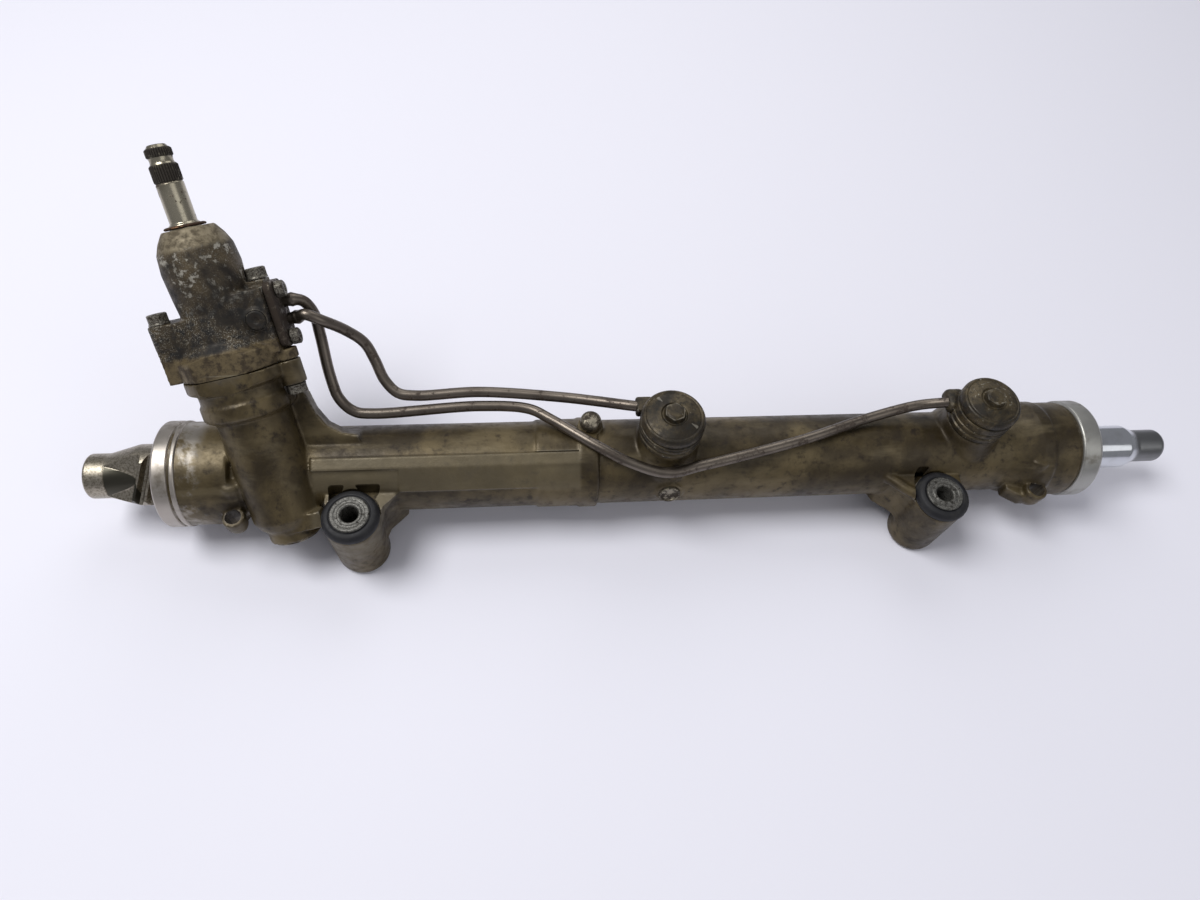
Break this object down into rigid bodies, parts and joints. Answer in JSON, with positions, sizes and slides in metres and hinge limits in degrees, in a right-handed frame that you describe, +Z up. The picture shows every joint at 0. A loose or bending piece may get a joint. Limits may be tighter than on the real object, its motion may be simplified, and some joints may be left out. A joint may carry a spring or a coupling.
{
  "type": "steering rack and pinion",
  "caption": "Hydraulic power-steering rack and pinion with cast housing, angled valve tower, transfer pipes and rubber mounting bushings.",
  "frame": {"origin": "bottom centre of the whole part's box, which the two mounting ears stand on", "axes": "+X along the rack bar from the toothed end to the piston-rod end, +Y to the back, where the input shaft leans, +Z up along the mounting bolts"},
  "size_m": [0.69, 0.1686, 0.1921],
  "materials": {
    "housing_aluminium": "raw cast aluminium, stained brown with grime, worn bright at both ends",
    "valve_housing_aluminium": "cast aluminium under black grime with pale speckled corrosion",
    "end_aluminium": "turned, satin",
    "bushing_rubber": "matte, dusty",
    "sleeve_steel": "dull and speckled",
    "port_steel": "dark brown oily grime over turned steel",
    "pipe_steel": "bare drawn tube, spotted with rust",
    "rusty_steel": "rusty and greasy",
    "shaft_steel": "ground, stained, dark at the splines",
    "rod_chrome": "ground and polished, dull at the toothed end",
    "hidden_steel": "oiled, machined",
    "seal_rubber": "oiled",
    "seal_plastic": "smooth"
  },
  "bodies": {
    "housing": {"rack_housing": "housing_aluminium", "valve_housing": "valve_housing_aluminium", "bushing_rubber_left": "bushing_rubber", "bushing_rubber_right": "bushing_rubber", "bushing_sleeve_left": "sleeve_steel", "bushing_sleeve_right": "sleeve_steel", "port_fitting_left": "port_steel", "port_fitting_right": "port_steel", "port_cap_left": "port_steel", "port_cap_right": "port_steel", "pipe_short": "pipe_steel", "pipe_long": "pipe_steel", "pipe_plate": "rusty_steel", "pipe_plate_bolt_1": "rusty_steel", "pipe_plate_bolt_2": "rusty_steel", "flange_bolt_1": "rusty_steel", "flange_bolt_2": "rusty_steel", "side_block_bolt": "rusty_steel", "top_bolt": "rusty_steel", "front_disc_plug": "valve_housing_aluminium", "tube_plug": "sleeve_steel", "staked_plug": "sleeve_steel", "yoke": "hidden_steel", "yoke_spring": "hidden_steel", "yoke_plug": "sleeve_steel", "pinion_end_plug": "sleeve_steel", "pinion_lower_bearing": "hidden_steel", "pinion_upper_bearing": "hidden_steel", "bearing_circlip": "hidden_steel", "pinion_seal": "seal_rubber", "input_bearing": "hidden_steel", "input_seal": "seal_rubber", "input_dust_ring": "rusty_steel", "cylinder_inner_seal": "seal_rubber", "rod_seal": "seal_rubber", "rod_bush": "seal_plastic", "retaining_ring": "hidden_steel", "end_gland": "end_aluminium"},
    "rack": {"rack_bar": "rod_chrome", "piston": "hidden_steel", "piston_ring": "seal_plastic"},
    "pinion_and_valve": {"pinion": "hidden_steel", "valve_sleeve": "hidden_steel", "sleeve_ring_1": "seal_plastic", "sleeve_ring_2": "seal_plastic", "sleeve_ring_3": "seal_plastic", "sleeve_ring_4": "seal_plastic", "torsion_bar": "hidden_steel"},
    "input": {"input_shaft": "shaft_steel"}
  },
  "joints": [
    {"name": "rack_slide", "type": "slide", "parent": "housing", "child": "rack", "axis": [1, 0, 0], "range_m": [-0.06, 0.044]},
    {"name": "pinion_spin", "type": "hinge", "parent": "housing", "child": "pinion_and_valve", "pos_m": [-0.2325, -0.04589, 0.05138], "axis": [-0.2045, 0.655, 0.7274], "range_deg": [-351, 477]},
    {"name": "input_twist", "type": "hinge", "parent": "pinion_and_valve", "child": "input", "pos_m": [-0.25295, 0.01961, 0.12413], "axis": [-0.2045, 0.655, 0.7274], "range_deg": [-4, 4], "stiffness_Nm_per_rad": 40}
  ],
  "couplings": [
    {"joint": "pinion_spin", "follows": "rack_slide", "rad_per_m": -137.12}
  ]
}
